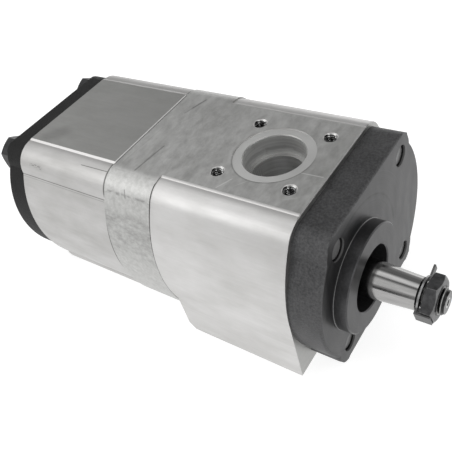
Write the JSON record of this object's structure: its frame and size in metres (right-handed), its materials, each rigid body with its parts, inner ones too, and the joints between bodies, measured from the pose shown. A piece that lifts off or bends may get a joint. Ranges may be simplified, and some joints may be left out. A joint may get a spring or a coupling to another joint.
{
  "type": "hydraulic pump",
  "caption": "Tandem external gear pump with a common inlet on top, outlets underneath, a round pilot and a tapered shaft with nut and tab washer.",
  "frame": {"origin": "on the drive shaft's axis, in the plane of the front cover's mounting face", "axes": "+X along the shaft towards its tapered end, +Z towards the inlet port's face, +Y from the drive shaft towards the driven gears"},
  "size_m": [0.2346, 0.102, 0.0856],
  "materials": {
    "front_cover_iron": "cast sides, machined front",
    "rear_cover_iron": "black painted casting",
    "extruded_aluminium": "satin, extruded",
    "cast_aluminium": "blasted casting",
    "bearing_aluminium": "machined",
    "bearing_bronze": "satin",
    "ground_steel": "ground",
    "washer_steel": "plain sheet",
    "black_steel": "black oxide",
    "seal_rubber": "matte"
  },
  "bodies": {
    "housing": {"front_cover": "front_cover_iron", "front_body": "extruded_aluminium", "intermediate_flange": "cast_aluminium", "rear_body": "extruded_aluminium", "rear_cover": "rear_cover_iron", "housing_bolts": "black_steel", "dowel_pins": "ground_steel", "shaft_seal": "seal_rubber", "seal_retaining_ring": "black_steel", "front_cover_joint_seal": "seal_rubber", "flange_front_joint_seal": "seal_rubber", "flange_rear_joint_seal": "seal_rubber", "rear_cover_joint_seal": "seal_rubber", "gallery_o_rings": "seal_rubber", "front_section_front_bearing": "bearing_aluminium", "front_section_rear_bearing": "bearing_aluminium", "rear_section_front_bearing": "bearing_aluminium", "rear_section_rear_bearing": "bearing_aluminium", "front_section_bushes": "bearing_bronze", "rear_section_bushes": "bearing_bronze", "bearing_face_seals": "seal_rubber"},
    "drive_shaft": {"front_drive_gear": "ground_steel", "shaft_coupling": "ground_steel", "rear_drive_gear": "ground_steel", "shaft_key": "ground_steel", "tab_washer": "washer_steel", "shaft_nut": "black_steel"},
    "front_driven": {"front_driven_gear": "ground_steel"},
    "rear_driven": {"rear_driven_gear": "ground_steel"}
  },
  "joints": [
    {"name": "drive_shaft_spin", "type": "hinge", "parent": "housing", "child": "drive_shaft", "pos_m": [0, 0, 0], "axis": [1, 0, 0], "continuous": true},
    {"name": "front_driven_spin", "type": "hinge", "parent": "housing", "child": "front_driven", "pos_m": [0, 0.0305, 0], "axis": [1, 0, 0], "continuous": true},
    {"name": "rear_driven_spin", "type": "hinge", "parent": "housing", "child": "rear_driven", "pos_m": [0, 0.0305, 0], "axis": [1, 0, 0], "continuous": true}
  ],
  "couplings": [
    {"joint": "front_driven_spin", "follows": "drive_shaft_spin", "ratio": -1},
    {"joint": "rear_driven_spin", "follows": "drive_shaft_spin", "ratio": -1}
  ]
}
